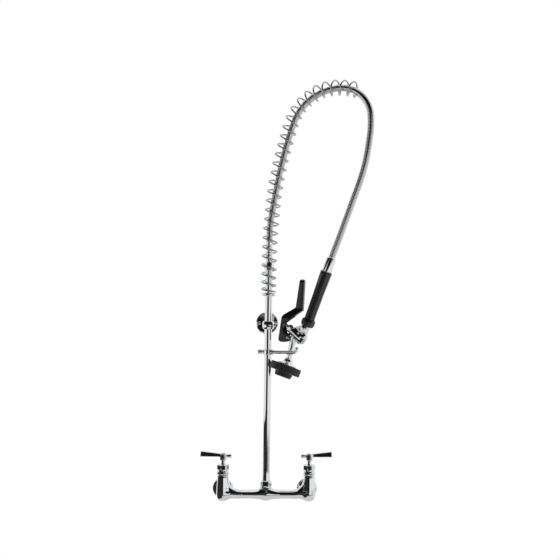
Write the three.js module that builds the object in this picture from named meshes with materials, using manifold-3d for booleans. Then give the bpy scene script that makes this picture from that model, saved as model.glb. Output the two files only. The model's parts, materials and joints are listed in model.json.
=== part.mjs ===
// Wall-mounted pre-rinse faucet: two-valve base, riser, overhead spring, flexible hose and spray valve.
// Millimetres, +Z up, +X to the right, +Y into the wall.
// The origin lies on the wall plane, midway between the two supply inlets and at their height.

import * as THREE from "three";
import { mergeVertices } from "three/addons/utils/BufferGeometryUtils.js";
import Module from "manifold-3d";

const wasm = await Module();
wasm.setup();

const DEG = Math.PI / 180;

// ---------------------------------------------------------------- driving dimensions

const INLET_CENTRES = 203.2; // 8 in between the supply inlets
const AXIS_TO_WALL = 65; // valve and riser axes in front of the wall
const GAP = 0.3; // between pieces that touch
const PIPE_R = 8.55; // 3/8 in pipe, 17.1 mm outside
const PIPE_BORE_R = 6.2;
const RISER_FOOT_Z = 3;
const RISER_TOP_Z = 541;
const BRACKET_Z = 400;
const SPRING_COLLAR_Z = 468;
const HOOK_Z = 337;
const HOOK_ANGLE = -37.5 * DEG; // finger hook arm, seen from above
const LOOP_ANGLE = -25 * DEG; // plane of the hose loop, seen from above
const HOSE_R = 7.7;
const SPRING_R = 17.2; // coil centre line
const WIRE_R = 2;
const COIL_PITCH = 21.6;
const COIL_STEPS = 8; // bends in each turn
const SPRAY_TILT = 16 * DEG;
const HEAD_LEAN = 13 * DEG; // spray face forward, out of the loop plane
const HEAD_HINGE = 13.6; // where the lean starts, above the bumper
const NECK_TILT = 13.3 * DEG;
const GRIP_TILT = 20 * DEG;
const GRIP_LENGTH = 117.3;
const GRIP_FOOT = 135.3; // collar and handle tube end this far below the top of the grip
const CHAMBER_TILT = 40 * DEG; // valve chamber below the horizontal, towards the hose side

const BIG = 16; // sides of a large round piece
const ROUND = 12;
const SMALL = 8;

// Points of the loop plane: [distance from the riser axis, height].
const SPRAY_CENTRE = [49.1, 308.2]; // top of the bumper, on the spray axis
const NECK_FOOT = [52.6, 320.4];
const NECK_LENGTH = 56;
const GRIP_TOP = [143.15, 528.2];
const CHAMBER_CENTRE = [70, 382];
const LEVER_PIVOT = [54, 373];
const CHAMBER_FLOOR = -24; // bottom of the valve chamber, behind its centre
const SIDE_CAP = [87, 395];
const ELBOW = 161.3; // where the inlet meets the valve chamber, below the top of the grip
const HOSE_ROUTE = [
  [0, 598.6], [0, 615], [2, 640], [6.5, 668], [12, 698], [18.5, 732], [26, 766], [35, 802],
  [45, 836], [54.5, 864], [64, 886], [75.5, 903], [90, 917.5], [107, 929.5], [125, 938], [146, 944],
  [168, 946.5], [190, 944.1], [207.5, 937], [222.2, 925.7], [233.5, 911], [240.6, 893.9], [243, 875.5],
  [243, 854], [240.3, 827], [235.8, 797], [229, 765], [218, 730], [204.5, 693], [187.2, 646],
  [170.6, 601], [161.6, 578.2], [155.3, 561.3],
];
const SPRING_ROUTE = [
  [0, 478.5], [0, 540], [1.5, 600], [5, 650], [9.5, 697], [15, 735], [22, 768], [31, 804],
  [41, 838], [50, 868], [58, 886], [68, 902], [81, 916], [97, 928.5], [114, 938], [132, 944],
  [152, 947.3], [172, 947], [192, 944.3], [209, 940],
];

// ---------------------------------------------------------------- materials

const FINISHES = {
  chrome: { color: 0xd8dbde, metalness: 1, roughness: 0.08 },
  brass: { color: 0xb79a58, metalness: 1, roughness: 0.35 },
  steel: { color: 0xb9bcbf, metalness: 1, roughness: 0.3 },
  hose: { color: 0x9fa2a5, metalness: 1, roughness: 0.4 },
  black: { color: 0x2b2b2b, metalness: 0, roughness: 0.45 },
  rubber: { color: 0x3b3b3d, metalness: 0, roughness: 0.8 },
  seal: { color: 0x1c1c1c, metalness: 0, roughness: 0.7 },
  red: { color: 0xa81f1f, metalness: 0, roughness: 0.4 },
  blue: { color: 0x1f3f9f, metalness: 0, roughness: 0.4 },
};

// ---------------------------------------------------------------- geometry helpers

/** Merge the seams, drop triangles with no area and turn the faces outward. */
function closed(geometry) {
  const bare = geometry.clone();
  bare.deleteAttribute("normal");
  bare.deleteAttribute("uv");
  const merged = mergeVertices(bare, 1e-4);
  const corners = [new THREE.Vector3(), new THREE.Vector3(), new THREE.Vector3()];
  const triangles = [];
  let volume = 0;
  for (let i = 0; i < merged.index.count; i += 3) {
    const ids = [0, 1, 2].map((k) => merged.index.getX(i + k));
    if (new Set(ids).size < 3) continue;
    triangles.push(ids);
    ids.forEach((id, k) => corners[k].fromBufferAttribute(merged.getAttribute("position"), id));
    volume += corners[0].dot(corners[1].clone().cross(corners[2]));
  }
  if (volume < 0) triangles.forEach((ids) => ids.reverse());
  merged.setIndex(triangles.flat());
  return merged;
}

/** A solid turned around +Z from [radius, height] points; one that stays off the axis closes on itself. */
function turned(points, sides = ROUND) {
  const ring = points[0][0] > 0 ? [...points, points[0]] : points;
  const profile = ring.map(([radius, height]) => new THREE.Vector2(radius, height));
  const geometry = new THREE.LatheGeometry(profile, sides);
  geometry.rotateX(Math.PI / 2);
  return closed(geometry);
}

/** A plain rod around +Z. */
function rod(radius, low, high, sides = ROUND) {
  return turned([[0, low], [radius, low], [radius, high], [0, high]], sides);
}

/** A plain ring around +Z. */
function ring(inner, outer, low, high, sides = ROUND) {
  return turned([[inner, low], [outer, low], [outer, high], [inner, high]], sides);
}

/** An outline of [x, y] points, thickened from low to high along +Z. */
function prism(outline, low, high) {
  const shape = new THREE.Shape(outline.map(([x, y]) => new THREE.Vector2(x, y)));
  const geometry = new THREE.ExtrudeGeometry(shape, { depth: high - low, bevelEnabled: false });
  geometry.translate(0, 0, low);
  return closed(geometry);
}

/** An outline of [x, z] points, thickened from near to far along +Y. */
function slab(outline, near, far) {
  const geometry = prism(outline, -far, -near);
  geometry.rotateX(Math.PI / 2);
  return geometry;
}

function polygon(radius, sides, start = 0) {
  return Array.from({ length: sides }, (_, i) => {
    const angle = start + (i * 2 * Math.PI) / sides;
    return [radius * Math.cos(angle), radius * Math.sin(angle)];
  });
}

/** Points of an arc round [x, y], from one angle to another, both in degrees. */
function arc([x, y], radius, from, to, steps = 5) {
  return Array.from({ length: steps + 1 }, (_, i) => {
    const angle = (from + ((to - from) * i) / steps) * DEG;
    return [x + radius * Math.cos(angle), y + radius * Math.sin(angle)];
  });
}

/** A round bar swept along a curve. */
function bar(path, radius, sides, steps, start = 0) {
  const shape = new THREE.Shape(polygon(radius, sides, start).map(([x, y]) => new THREE.Vector2(x, y)));
  return closed(new THREE.ExtrudeGeometry(shape, { extrudePath: path, steps, bevelEnabled: false }));
}

/** A curve through [u, z] points of the loop plane. */
function planeCurve(points) {
  return new THREE.CatmullRomCurve3(points.map(([u, z]) => new THREE.Vector3(u, 0, z)), false, "centripetal");
}

function solidOf(geometry) {
  const vertProperties = Float32Array.from(geometry.getAttribute("position").array);
  const triVerts = Uint32Array.from(geometry.index.array);
  return new wasm.Manifold(new wasm.Mesh({ numProp: 3, vertProperties, triVerts }));
}

function geometryOf(solid) {
  const mesh = solid.getMesh();
  const geometry = new THREE.BufferGeometry();
  geometry.setAttribute("position", new THREE.BufferAttribute(mesh.vertProperties, 3));
  geometry.setIndex(Array.from(mesh.triVerts));
  return geometry;
}

/** Join the first list of pieces and cut the second list out of them. */
function built(joined, cuts = []) {
  const [first, ...others] = joined.map(solidOf);
  const whole = others.reduce((sum, piece) => sum.add(piece), first);
  return geometryOf(cuts.map(solidOf).reduce((rest, cut) => rest.subtract(cut), whole));
}

/** Turn a geometry made around +Z so that it points along +Y, +X or -X. */
function toward(axis, geometry) {
  const turn = { y: () => geometry.rotateX(-90 * DEG), x: () => geometry.rotateY(90 * DEG) };
  turn["-x"] = () => geometry.rotateY(-90 * DEG);
  turn[axis]();
  return geometry;
}

/** Tilt a geometry made around +Z in the loop plane, then move its foot to [u, z]. */
function leaned(geometry, tilt, [u, z]) {
  geometry.rotateY(tilt);
  geometry.translate(u, 0, z);
  return geometry;
}

function moved(geometry, x, y, z) {
  geometry.translate(x, y, z);
  return geometry;
}

/** Add one named mesh with a material of its own. */
function piece(parent, name, finish, geometry) {
  const mesh = new THREE.Mesh(geometry, new THREE.MeshStandardMaterial(FINISHES[finish]));
  mesh.name = name;
  parent.add(mesh);
  return mesh;
}

function groupAt(parent, x, y, z, turnZ = 0, tiltY = 0) {
  const group = new THREE.Group();
  group.position.set(x, y, z);
  group.rotation.set(0, tiltY, turnZ, "ZYX");
  parent.add(group);
  return group;
}

// ---------------------------------------------------------------- mixing base

const BAR_R = 10.3;
const BOSS_R = 10;
const VALVE_BORE_R = 9.5;
const COLUMN_TOP_Z = 46;
const NECK_TOP_Z = 24;
const INLET_REACH = 29; // inlet arm behind the valve axis

/** A quarter bend that rounds the corner between an upright and the crossbar. */
function cornerBend(uprightX, side, bend, radius) {
  const points = arc([0, 0], bend, 180, 270, 6).map(([x, z]) => {
    return new THREE.Vector3(uprightX + side * (bend + x), 0, bend + z);
  });
  return bar(new THREE.CatmullRomCurve3(points), radius, 10, 5);
}

function mixingBody() {
  const half = INLET_CENTRES / 2;
  const bulge = (distance, width) => Math.exp(-((distance / width) ** 2));
  const swell = (x) => BAR_R + 3.4 * bulge(x, 15) + 3.6 * bulge(half - Math.abs(x), 14);
  const stations = [-half, -90, -76, -30, -15, 0, 15, 30, 76, 90, half];
  const crossbar = toward("x", turned([[0, -half], ...stations.map((x) => [swell(x), x]), [0, half]], ROUND));
  const joined = [crossbar];
  const cuts = [];
  for (const side of [-1, 1]) {
    const column = turned([
      [0, -16], [7.5, -15], [12, -12], [14.6, -7], [15.2, 0], [14.8, 12], [14, 28], [13.3, 40],
      [13.3, COLUMN_TOP_Z], [0, COLUMN_TOP_Z],
    ], BIG);
    const arm = toward("y", turned([
      [0, 0], [12, 0], [12, 19], [13, 20], [13, INLET_REACH], [0, INLET_REACH],
    ]));
    const valveBore = rod(VALVE_BORE_R, 8, COLUMN_TOP_Z + 5, BIG);
    const seatHole = rod(5, 0, 9, SMALL);
    const inletBore = toward("y", rod(6.5, -4, INLET_REACH + 5));
    const outletPort = rod(3.4, 0, 14, SMALL);
    joined.push(moved(column, side * half, 0, 0), moved(arm, side * half, 0, 0));
    joined.push(cornerBend(side * (half - 3.4), -side, 37, 9.6), cornerBend(0, side, 23, 9.5));
    cuts.push(moved(valveBore, side * half, 0, 0), moved(seatHole, side * half, 0, 0));
    cuts.push(moved(inletBore, side * half, 0, 0), moved(outletPort, side * 91.5, 0, 0));
  }
  joined.push(turned([
    [0, -14], [6, -13.6], [10, -11], [12, 0], [11.5, 12.5], [BOSS_R, 12.5], [BOSS_R, NECK_TOP_Z],
    [0, NECK_TOP_Z],
  ]));
  cuts.push(toward("x", rod(5, -91.5, 91.5, SMALL)), rod(7.9, 2.5, NECK_TOP_Z + 5), rod(5, -1, 3, SMALL));
  cuts.push(ring(BOSS_R, 18, 12.5, 36));
  return built(joined, cuts);
}

function hexNut(acrossFlats, bore, low, high, start = 0) {
  const outside = prism(polygon(acrossFlats / Math.sqrt(3), 6, start), low, high);
  return built([outside], [bore]);
}

function inletFittings(parent, side, label) {
  const inlet = groupAt(parent, (side * INLET_CENTRES) / 2, -AXIS_TO_WALL, 0);
  const washerFace = INLET_REACH + GAP;
  const collarFace = washerFace + 2 + GAP;
  const collarBack = collarFace + 3;
  piece(inlet, `${label}_inlet_washer`, "seal", toward("y", ring(7.5, 12.4, washerFace, washerFace + 2)));
  piece(inlet, `${label}_inlet_shank`, "chrome", toward("y", turned([
    [7.2, collarFace], [12.8, collarFace], [12.8, collarBack], [10.5, collarBack], [10.5, 40], [12.4, 42],
    [12.4, AXIS_TO_WALL], [9.5, AXIS_TO_WALL], [9.5, 46], [7.2, 44],
  ])));
  const nutBore = turned([
    [0, 18], [13.4, 18], [13.4, collarBack + GAP], [10.9, collarBack + GAP], [10.9, 41], [0, 41],
  ]);
  piece(inlet, `${label}_union_nut`, "chrome", toward("y", hexNut(30.5, nutBore, 20.4, 38.5, 30 * DEG)));
  piece(inlet, `${label}_wall_flange`, "chrome", toward("y", turned([
    [12.8, 59], [16, 57.5], [21, 59.3], [24.2, 62], [25, AXIS_TO_WALL], [12.8, AXIS_TO_WALL],
  ], BIG)));
}

// ---------------------------------------------------------------- hot and cold valves

const LEVER_REACH = 54;

/** Lever arm with a tail, pointing along +X from the valve axis. */
function valveLever() {
  const hub = turned([[0, 80.6], [7.4, 80.6], [8, 82], [8, 94], [7.2, 95.6], [0, 95.6]]);
  const sideOutline = [[5, 88.4], [LEVER_REACH - 1, 88.8], [LEVER_REACH, 90], [LEVER_REACH - 0.8, 100.8]];
  sideOutline.push([LEVER_REACH - 2, 101.6], [10, 96.3], [5, 95.4]);
  const topOutline = [[0, -4.2], [12, -4.3], [40, -5.2], [LEVER_REACH + 1, -5.6]];
  const plan = [...topOutline, ...topOutline.map(([x, y]) => [x, -y]).reverse()];
  const blade = geometryOf(solidOf(slab(sideOutline, -9, 9)).intersect(solidOf(prism(plan, 80, 105))));
  const tailShape = turned([[0, 4], [3.4, 4], [3.9, 10], [5.3, 18.4], [4.6, 19.6], [0, 19.6]], SMALL);
  const tail = moved(toward("-x", tailShape), 0, 0, 90.4);
  const socket = rod(4.3, 80, 88.4, SMALL);
  const screwHole = rod(2.3, 88, 91, SMALL);
  const recess = rod(5.4, 90.3, 96, SMALL);
  return built([hub, blade, tail], [socket, screwHole, recess]);
}

function valve(parent, side, label, index) {
  const axis = groupAt(parent, (side * INLET_CENTRES) / 2, -AXIS_TO_WALL, 0, side < 0 ? Math.PI : 0);
  piece(axis, `${label}_seat_ring`, "seal", ring(5.2, 9.2, 8 + GAP, 10 + GAP, SMALL));
  piece(axis, `${label}_cartridge`, "brass", turned([
    [6, 10.6], [9.2, 10.6], [9.2, 13], [6.8, 14], [6.8, 20], [9.2, 21], [9.2, 33.6], [6.6, 33.6],
    [6.6, 66], [3.5, 66], [3.5, 20], [6, 18],
  ]));
  piece(axis, `${label}_bonnet`, "chrome", turned([
    [7, 34], [9.2, 34], [9.2, COLUMN_TOP_Z + GAP], [13.4, COLUMN_TOP_Z + GAP], [14.2, 48], [14.2, 54.4],
    [13, 56.4], [10.6, 56.6], [10.6, 58.6], [7, 58.6],
  ], BIG));
  const nutBore = turned([[0, 57], [7, 57], [7, 67], [5.6, 67], [5.6, 72], [0, 72]]);
  const lockNut = prism(polygon(15, 8, 22.5 * DEG), 58.6 + GAP, 70);
  piece(axis, `${label}_lock_nut`, "chrome", built([lockNut], [nutBore]));
  piece(axis, `${label}_stem`, "chrome", turned([
    [0, 12.2], [5.4, 12.2], [5.4, 14.6], [3, 15.4], [3, 66.4], [5.1, 66.4], [5.1, 80.3], [4, 80.4],
    [4, 87.8], [2.2, 87.8], [2.2, 82.6], [0, 82.6],
  ], SMALL));
  piece(axis, `${label}_lever`, "chrome", valveLever());
  piece(axis, `${label}_handle_screw`, "steel", turned([
    [0, 83.2], [1.9, 83.2], [1.9, 90.6], [4.3, 90.6], [4.3, 92.2], [3.4, 93], [0, 93.2],
  ], SMALL));
  piece(axis, `${label}_index_cap`, index, turned([
    [0, 93.6], [5.1, 93.6], [5.1, 95.4], [3.6, 96.4], [0, 96.8],
  ], SMALL));
}

// ---------------------------------------------------------------- wall bracket

function wallBracket(parent) {
  const bracket = groupAt(parent, 0, -AXIS_TO_WALL, BRACKET_Z);
  const half = 9.5;
  const eye = turned([
    [0, -half], [11.6, -half], [14, -6.8], [14, 6.8], [11.6, half], [0, half],
  ], BIG);
  const boss = toward("y", rod(9, 4, 21));
  const socket = toward("y", rod(6.9, 14, 25));
  const screwHole = toward("x", rod(3.3, 2, 18, SMALL));
  const bore = rod(PIPE_R + 0.4, -12, 12, BIG);
  piece(bracket, "bracket_ring", "chrome", built([eye, boss], [bore, socket, screwHole]));
  piece(bracket, "bracket_set_screw", "steel", toward("x", turned([
    [0, 9.4], [2.2, 9.4], [3, 10.4], [3, 14.3], [5, 14.3], [5, 17], [4.2, 17.8], [0, 17.8],
  ], SMALL)));
  piece(bracket, "bracket_nipple", "chrome", toward("y", rod(6.6, 14 + GAP, 62)));
  const disc = toward("y", turned([
    [6.9, 46], [10.4, 46], [11, 58], [20, 58.6], [25.6, 60.6], [27.4, 63.4], [27.4, AXIS_TO_WALL],
    [6.9, AXIS_TO_WALL],
  ], BIG));
  const holes = [];
  for (const side of [-1, 1]) {
    holes.push(moved(toward("y", rod(2.7, 50, 70, SMALL)), side * 19.5, 0, 0));
  }
  piece(bracket, "bracket_flange", "chrome", built([disc], holes));
  for (const side of [-1, 1]) {
    const screw = toward("y", turned([
      [0, 56.4], [3.6, 56.8], [4.6, 58.2], [2.3, 58.2], [2.3, AXIS_TO_WALL], [0, AXIS_TO_WALL],
    ], SMALL));
    const label = side < 0 ? "left" : "right";
    piece(bracket, `bracket_screw_${label}`, "steel", moved(screw, side * 19.5, 0, 0));
  }
}

function riserNut() {
  const bore = turned([
    [0, 10], [BOSS_R + 0.35, 10], [BOSS_R + 0.35, 27.6], [PIPE_R + 0.4, 27.6], [PIPE_R + 0.4, 40], [0, 40],
  ]);
  const outside = turned([
    [0, 12.8], [13.4, 12.8], [14, 14.2], [14, 24], [12.2, 31], [10.4, 33], [0, 33],
  ], BIG);
  return built([outside], [bore]);
}

// ---------------------------------------------------------------- riser and hook

function riser(parent) {
  const axis = groupAt(parent, 0, -AXIS_TO_WALL, 0);
  piece(axis, "riser_pipe", "chrome", turned([
    [4.8, RISER_FOOT_Z], [7.4, RISER_FOOT_Z], [7.4, 9.6], [6.2, 9.6], [6.2, 12.6], [7.4, 12.6], [7.4, 24.4],
    [9.6, 24.4], [9.6, 27.2], [PIPE_R, 27.2], [PIPE_R, RISER_TOP_Z - 9], [7.9, RISER_TOP_Z - 8],
    [7.9, RISER_TOP_Z], [PIPE_BORE_R, RISER_TOP_Z], [PIPE_BORE_R, 32], [4.8, 30],
  ]));
  piece(axis, "riser_o_ring", "seal", ring(6.5, 7.5, 10, 12.2));
  piece(axis, "spring_collar", "chrome", turned([
    [PIPE_R + GAP, SPRING_COLLAR_Z], [15.6, SPRING_COLLAR_Z], [17.4, 470], [17.4, 473.4], [15.4, 475.6],
    [PIPE_R + GAP, 475.6],
  ], BIG));
  const nutBore = turned([
    [0, 525], [PIPE_R + GAP, 525], [PIPE_R + GAP, RISER_TOP_Z + GAP], [5, RISER_TOP_Z + GAP], [5, 555],
    [0, 555],
  ]);
  piece(axis, "hose_coupling_nut", "chrome", hexNut(20.8, nutBore, 529.5, 547.5));
  piece(axis, "hose_top_ferrule", "chrome", turned([
    [4.2, 547.8], [6.6, 547.8], [6.6, 550], [8.5, 551], [8.5, 597], [7.8, 598.3], [4.2, 598.3],
  ]));
}

function fingerHook(parent) {
  const axis = groupAt(parent, 0, -AXIS_TO_WALL, HOOK_Z);
  const collar = ring(PIPE_R + GAP, 11, -5.5, 5.5, BIG);
  const screwBoss = toward("-x", rod(4.6, 10, 12.6, SMALL));
  const screwHole = toward("-x", rod(2.8, 8, 14, SMALL));
  const armRoot = toward("x", rod(6.2, 9, 15, ROUND));
  armRoot.rotateZ(HOOK_ANGLE);
  const armHole = toward("x", rod(4.6, 12, 20, ROUND));
  armHole.rotateZ(HOOK_ANGLE);
  piece(axis, "hook_clamp", "chrome", built([collar, screwBoss, armRoot], [screwHole, armHole]));
  const route = [[12.4, 0], [20, 0.4], [45, 1.8], [68, 2.6], [76, 4.4], [80.6, 9], [82, 13.4], [83, 16.5]];
  const points = route.map(([reach, rise]) => {
    return new THREE.Vector3(reach * Math.cos(HOOK_ANGLE), reach * Math.sin(HOOK_ANGLE), rise);
  });
  piece(axis, "hook_arm", "chrome", bar(new THREE.CatmullRomCurve3(points, false, "centripetal"), 4, 10, 14));
  piece(axis, "hook_screw", "steel", toward("-x", turned([
    [0, 9.2], [2.5, 9.2], [2.5, 13.8], [5, 13.8], [5.2, 15], [5.2, 22.5], [4.4, 23.6], [0, 23.6],
  ], SMALL)));
}

// ---------------------------------------------------------------- overhead spring and hose

/** Left-handed helix round a curve of the loop plane, its pitch tighter at both ends. */
class Coil extends THREE.Curve {
  constructor(axisCurve) {
    super();
    this.axisCurve = axisCurve;
    this.length = axisCurve.getLength();
    this.turns = [0];
    const samples = 400;
    const step = this.length / samples;
    for (let i = 0; i < samples; i += 1) {
      const s = (i + 0.5) * step;
      const pitch = COIL_PITCH - 8.5 * Math.exp(-s / 26) - 8 * Math.exp(-(this.length - s) / 11);
      this.turns.push(this.turns[i] + step / pitch);
    }
  }

  turnAt(t) {
    const place = t * (this.turns.length - 1);
    const low = Math.min(Math.floor(place), this.turns.length - 2);
    return THREE.MathUtils.lerp(this.turns[low], this.turns[low + 1], place - low);
  }

  getPoint(t, target = new THREE.Vector3()) {
    const centre = this.axisCurve.getPointAt(t);
    const along = this.axisCurve.getTangentAt(t);
    const angle = 2 * Math.PI * this.turnAt(t);
    const inPlane = new THREE.Vector3(along.z, 0, -along.x);
    return target.copy(centre)
      .addScaledVector(inPlane, SPRING_R * Math.cos(angle))
      .addScaledVector(new THREE.Vector3(0, 1, 0), -SPRING_R * Math.sin(angle));
  }
}

function springAndHose(loop) {
  const coil = new Coil(planeCurve(SPRING_ROUTE));
  const steps = Math.round(coil.turnAt(1) * COIL_STEPS);
  piece(loop, "overhead_spring", "chrome", bar(coil, WIRE_R, 4, steps));
  piece(loop, "flex_hose", "hose", bar(planeCurve(HOSE_ROUTE), HOSE_R, 8, 56, 22.5 * DEG));
}

// ---------------------------------------------------------------- grip

function grip(loop) {
  const axis = groupAt(loop, GRIP_TOP[0], 0, GRIP_TOP[1], 0, GRIP_TILT);
  piece(axis, "hose_end_ferrule", "chrome", turned([
    [4.2, GAP], [11.2, GAP], [11.6, 2], [11.2, 31.6], [9.4, 34.7], [4.2, 34.7],
  ]));
  piece(axis, "hose_end_washer", "seal", ring(4.4, 7, -2, 0, SMALL));
  piece(axis, "handle_tube", "chrome", ring(4.4, 7.2, -GRIP_FOOT, -2 - GAP, SMALL));
  const sleeve = turned([
    [7.6, -GRIP_LENGTH], [12, -GRIP_LENGTH], [12.4, -62], [13.9, -3], [13, 0], [7.6, 0],
  ], BIG);
  piece(axis, "grip", "black", sleeve);
  piece(axis, "grip_collar", "black", turned([
    [7.6, -GRIP_FOOT], [13, -GRIP_FOOT], [14.6, 2 - GRIP_FOOT], [16, 7 - GRIP_FOOT], [16, 14 - GRIP_FOOT],
    [14, -GRIP_LENGTH - GAP],
    [7.6, -GRIP_LENGTH - GAP],
  ], BIG));
}

// ---------------------------------------------------------------- spray valve

/** Turn a piece made around +Z onto the chamber axis, +Z outward, to the squeeze lever. */
function onChamber(geometry) {
  return leaned(geometry, CHAMBER_TILT - 90 * DEG, CHAMBER_CENTRE);
}

function valveBody() {
  const chamber = onChamber(turned([
    [0, -29], [6.2, -29], [7.6, -27.6], [7.6, -25.6], [10.4, -25.6], [10.8, -18], [10.8, 12], [9.6, 14],
    [0, 14],
  ], BIG));
  const neck = leaned(turned([
    [0, 0], [6.7, 0], [6.7, 6], [7.2, 14], [7.8, 44], [8.6, NECK_LENGTH], [0, NECK_LENGTH],
  ]), NECK_TILT, NECK_FOOT);
  const inlet = leaned(rod(7.9, -ELBOW, -GRIP_FOOT - GAP), GRIP_TILT, GRIP_TOP);
  const elbow = leaned(turned([
    [0, -ELBOW - 9], [5.4, -ELBOW - 8], [9, -ELBOW - 4.4], [11, -ELBOW], [9.4, -ELBOW + 5],
    [0, -ELBOW + 11],
  ]), GRIP_TILT, GRIP_TOP);
  const lugShape = turned([[0, 0], [5.4, 0], [5.4, 12], [3.4, 15], [0, 16]], SMALL);
  const lug = leaned(lugShape, -118 * DEG, [87, 368.5]);
  const sideBoss = moved(toward("y", rod(8.4, -10, 6)), SIDE_CAP[0], 0, SIDE_CAP[1]);
  const web = slab([[60, 388], [74, 400], [88, 401], [93, 397], [92, 378], [74, 374]], -5.5, 5.5);
  const [pivotU, pivotZ] = LEVER_PIVOT;
  const earFoot = [[pivotU + 12, pivotZ - 7], [pivotU + 14, pivotZ + 9]];
  const earOutline = [...arc(LEVER_PIVOT, 5.4, 100, 280, 7), ...earFoot];
  const ear = slab(earOutline, -7.4, 7.4);
  const cuts = [
    moved(toward("y", rod(2.7, -12, 12, SMALL)), pivotU, 0, pivotZ),
    onChamber(rod(7.6, CHAMBER_FLOOR, 20)),
    leaned(rod(4.4, -ELBOW - 2, -100, SMALL), GRIP_TILT, GRIP_TOP),
    leaned(rod(4, -5, 46, SMALL), NECK_TILT, NECK_FOOT),
    leaned(rod(3, 0, 20, SMALL), 10 * DEG, [62.3, 361.3]),
    moved(toward("y", rod(5, -12, -3, SMALL)), SIDE_CAP[0], 0, SIDE_CAP[1]),
  ];
  return built([chamber, neck, inlet, elbow, lug, sideBoss, web, ear], cuts);
}

function sprayValve(loop) {
  piece(loop, "valve_body", "chrome", valveBody());
  piece(loop, "side_cap", "chrome", moved(toward("y", turned([
    [0, -16], [6.8, -16], [8.2, -14.4], [8.2, -10 - GAP], [4.6, -10 - GAP], [4.6, -4], [0, -4],
  ])), SIDE_CAP[0], 0, SIDE_CAP[1]));
  const hex = prism(polygon(17 / Math.sqrt(3), 6), 14 + GAP, 22.5);
  const nose = turned([[0, 2.5], [7.2, 2.5], [7.2, 15], [8, 15], [8, 24.4], [6.6, 25.8], [0, 25.8]]);
  const stemBore = turned([[0, 1], [5.6, 1], [5.6, 19], [3.5, 20], [3.5, 30], [0, 30]], SMALL);
  piece(loop, "valve_bonnet", "chrome", onChamber(built([hex, nose], [stemBore])));
  piece(loop, "valve_seat", "brass", onChamber(ring(4.4, 7.2, -11, -7.6)));
  piece(loop, "valve_stem", "steel", onChamber(turned([
    [0, -16], [3.2, -16], [3.2, -14.3], [2.4, -14.3], [2.4, -6], [3, -5.4], [3, 34.6], [2.2, 36.6], [0, 37.2],
  ], SMALL)));
  piece(loop, "stem_washer", "seal", onChamber(ring(2.8, 6.4, -14, -11 - GAP, SMALL)));
  const pin = toward("y", turned([
    [0, -13.4], [2.6, -13.4], [3.6, -12.6], [3.6, -11.4], [2.2, -11.4], [2.2, 11.4], [3.6, 11.4],
    [3.6, 12.6], [0, 12.6],
  ], SMALL));
  piece(loop, "lever_pin", "steel", moved(pin, LEVER_PIVOT[0], 0, LEVER_PIVOT[1]));
}

/** Return spring behind the washer, round the chamber axis. */
function valveSpring(loop) {
  const points = [];
  const steps = 28; // 7 to a turn
  for (let i = 0; i <= steps; i += 1) {
    const angle = (i / 7) * 2 * Math.PI;
    const height = CHAMBER_FLOOR + 1.1 + (8 * i) / steps;
    points.push(new THREE.Vector3(5.2 * Math.cos(angle), 5.2 * Math.sin(angle), height));
  }
  const wire = bar(new THREE.CatmullRomCurve3(points), 0.55, 4, steps);
  piece(loop, "valve_spring", "steel", onChamber(wire));
}

function sprayHead(loop) {
  const axis = groupAt(loop, SPRAY_CENTRE[0], 0, SPRAY_CENTRE[1], 0, SPRAY_TILT);
  const head = groupAt(axis, 0, -HEAD_HINGE * Math.sin(HEAD_LEAN), HEAD_HINGE * (1 - Math.cos(HEAD_LEAN)));
  head.rotation.x = -HEAD_LEAN;
  piece(head, "spray_bell", "chrome", turned([
    [7.7, 14.6], [9, 15.6], [10.2, 13], [11, 9], [15, 5.6], [22.4, 2.4], [23.6, GAP], [19, GAP], [14, 3],
    [7.7, 6],
  ], BIG));
  piece(head, "spray_bumper", "rubber", turned([
    [19, -18], [34.6, -18], [36.6, -15.8], [36.6, -2.2], [35, 0], [19, 0],
  ], BIG));
  piece(head, "spray_guard", "rubber", turned([
    [14, -29], [18.4, -29], [19.6, -27.4], [21.4, -18 - GAP], [14, -18 - GAP],
  ], BIG));
  piece(head, "spray_plate", "steel", turned([
    [0, -26], [13.6, -26], [13.6, -17.8], [18.6, -17.8], [18.6, -15], [11.6, -15], [11.6, -23.6], [0, -23.6],
  ]));
}

/** Squeeze lever: a long blade on a wide forked foot, in [u, z] of the loop plane. */
function squeezeLever(loop) {
  const outline = [
    ...arc([84.6, 504.6], 5.8, 5, 175, 6), [70, 444], [41, 426.6], [36.8, 421], [29.6, 370],
    ...arc([36.8, 369.8], 7.2, 185, 262, 3), [44, 362.4], [55, 364], [59.4, 368.6], [59.4, 376.4],
    [54.5, 379], [45.4, 383], [44.6, 388], [42.2, 394.4], [42, 401], [44.4, 407], [87.2, 436.6],
  ];
  const frontOutline = [
    [-11.2, 350], [11.2, 350], [11.2, 418], [6.6, 442], ...arc([0, 503.3], 6, 0, 180, 6), [-6.6, 442],
    [-11.2, 418],
  ];
  const front = prism(frontOutline, 20, 100);
  front.applyMatrix4(new THREE.Matrix4().set(0, 0, 1, 0, 1, 0, 0, 0, 0, 1, 0, 0, 0, 0, 0, 1));
  const side = slab(outline, -12, 12);
  const channel = slab([
    [34, 350], [34, 369], [41.4, 413], [44.4, 417], [66, 430], [80, 429], [80, 350],
  ], -8.9, 8.9);
  const pinHole = moved(toward("y", rod(2.7, -15, 15, SMALL)), LEVER_PIVOT[0], 0, LEVER_PIVOT[1]);
  const whole = solidOf(side).intersect(solidOf(closed(front)));
  const lever = whole.subtract(solidOf(channel)).subtract(solidOf(pinHole));
  piece(loop, "squeeze_lever", "black", geometryOf(lever));
}

// ---------------------------------------------------------------- assembly

const faucet = new THREE.Group();

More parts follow.
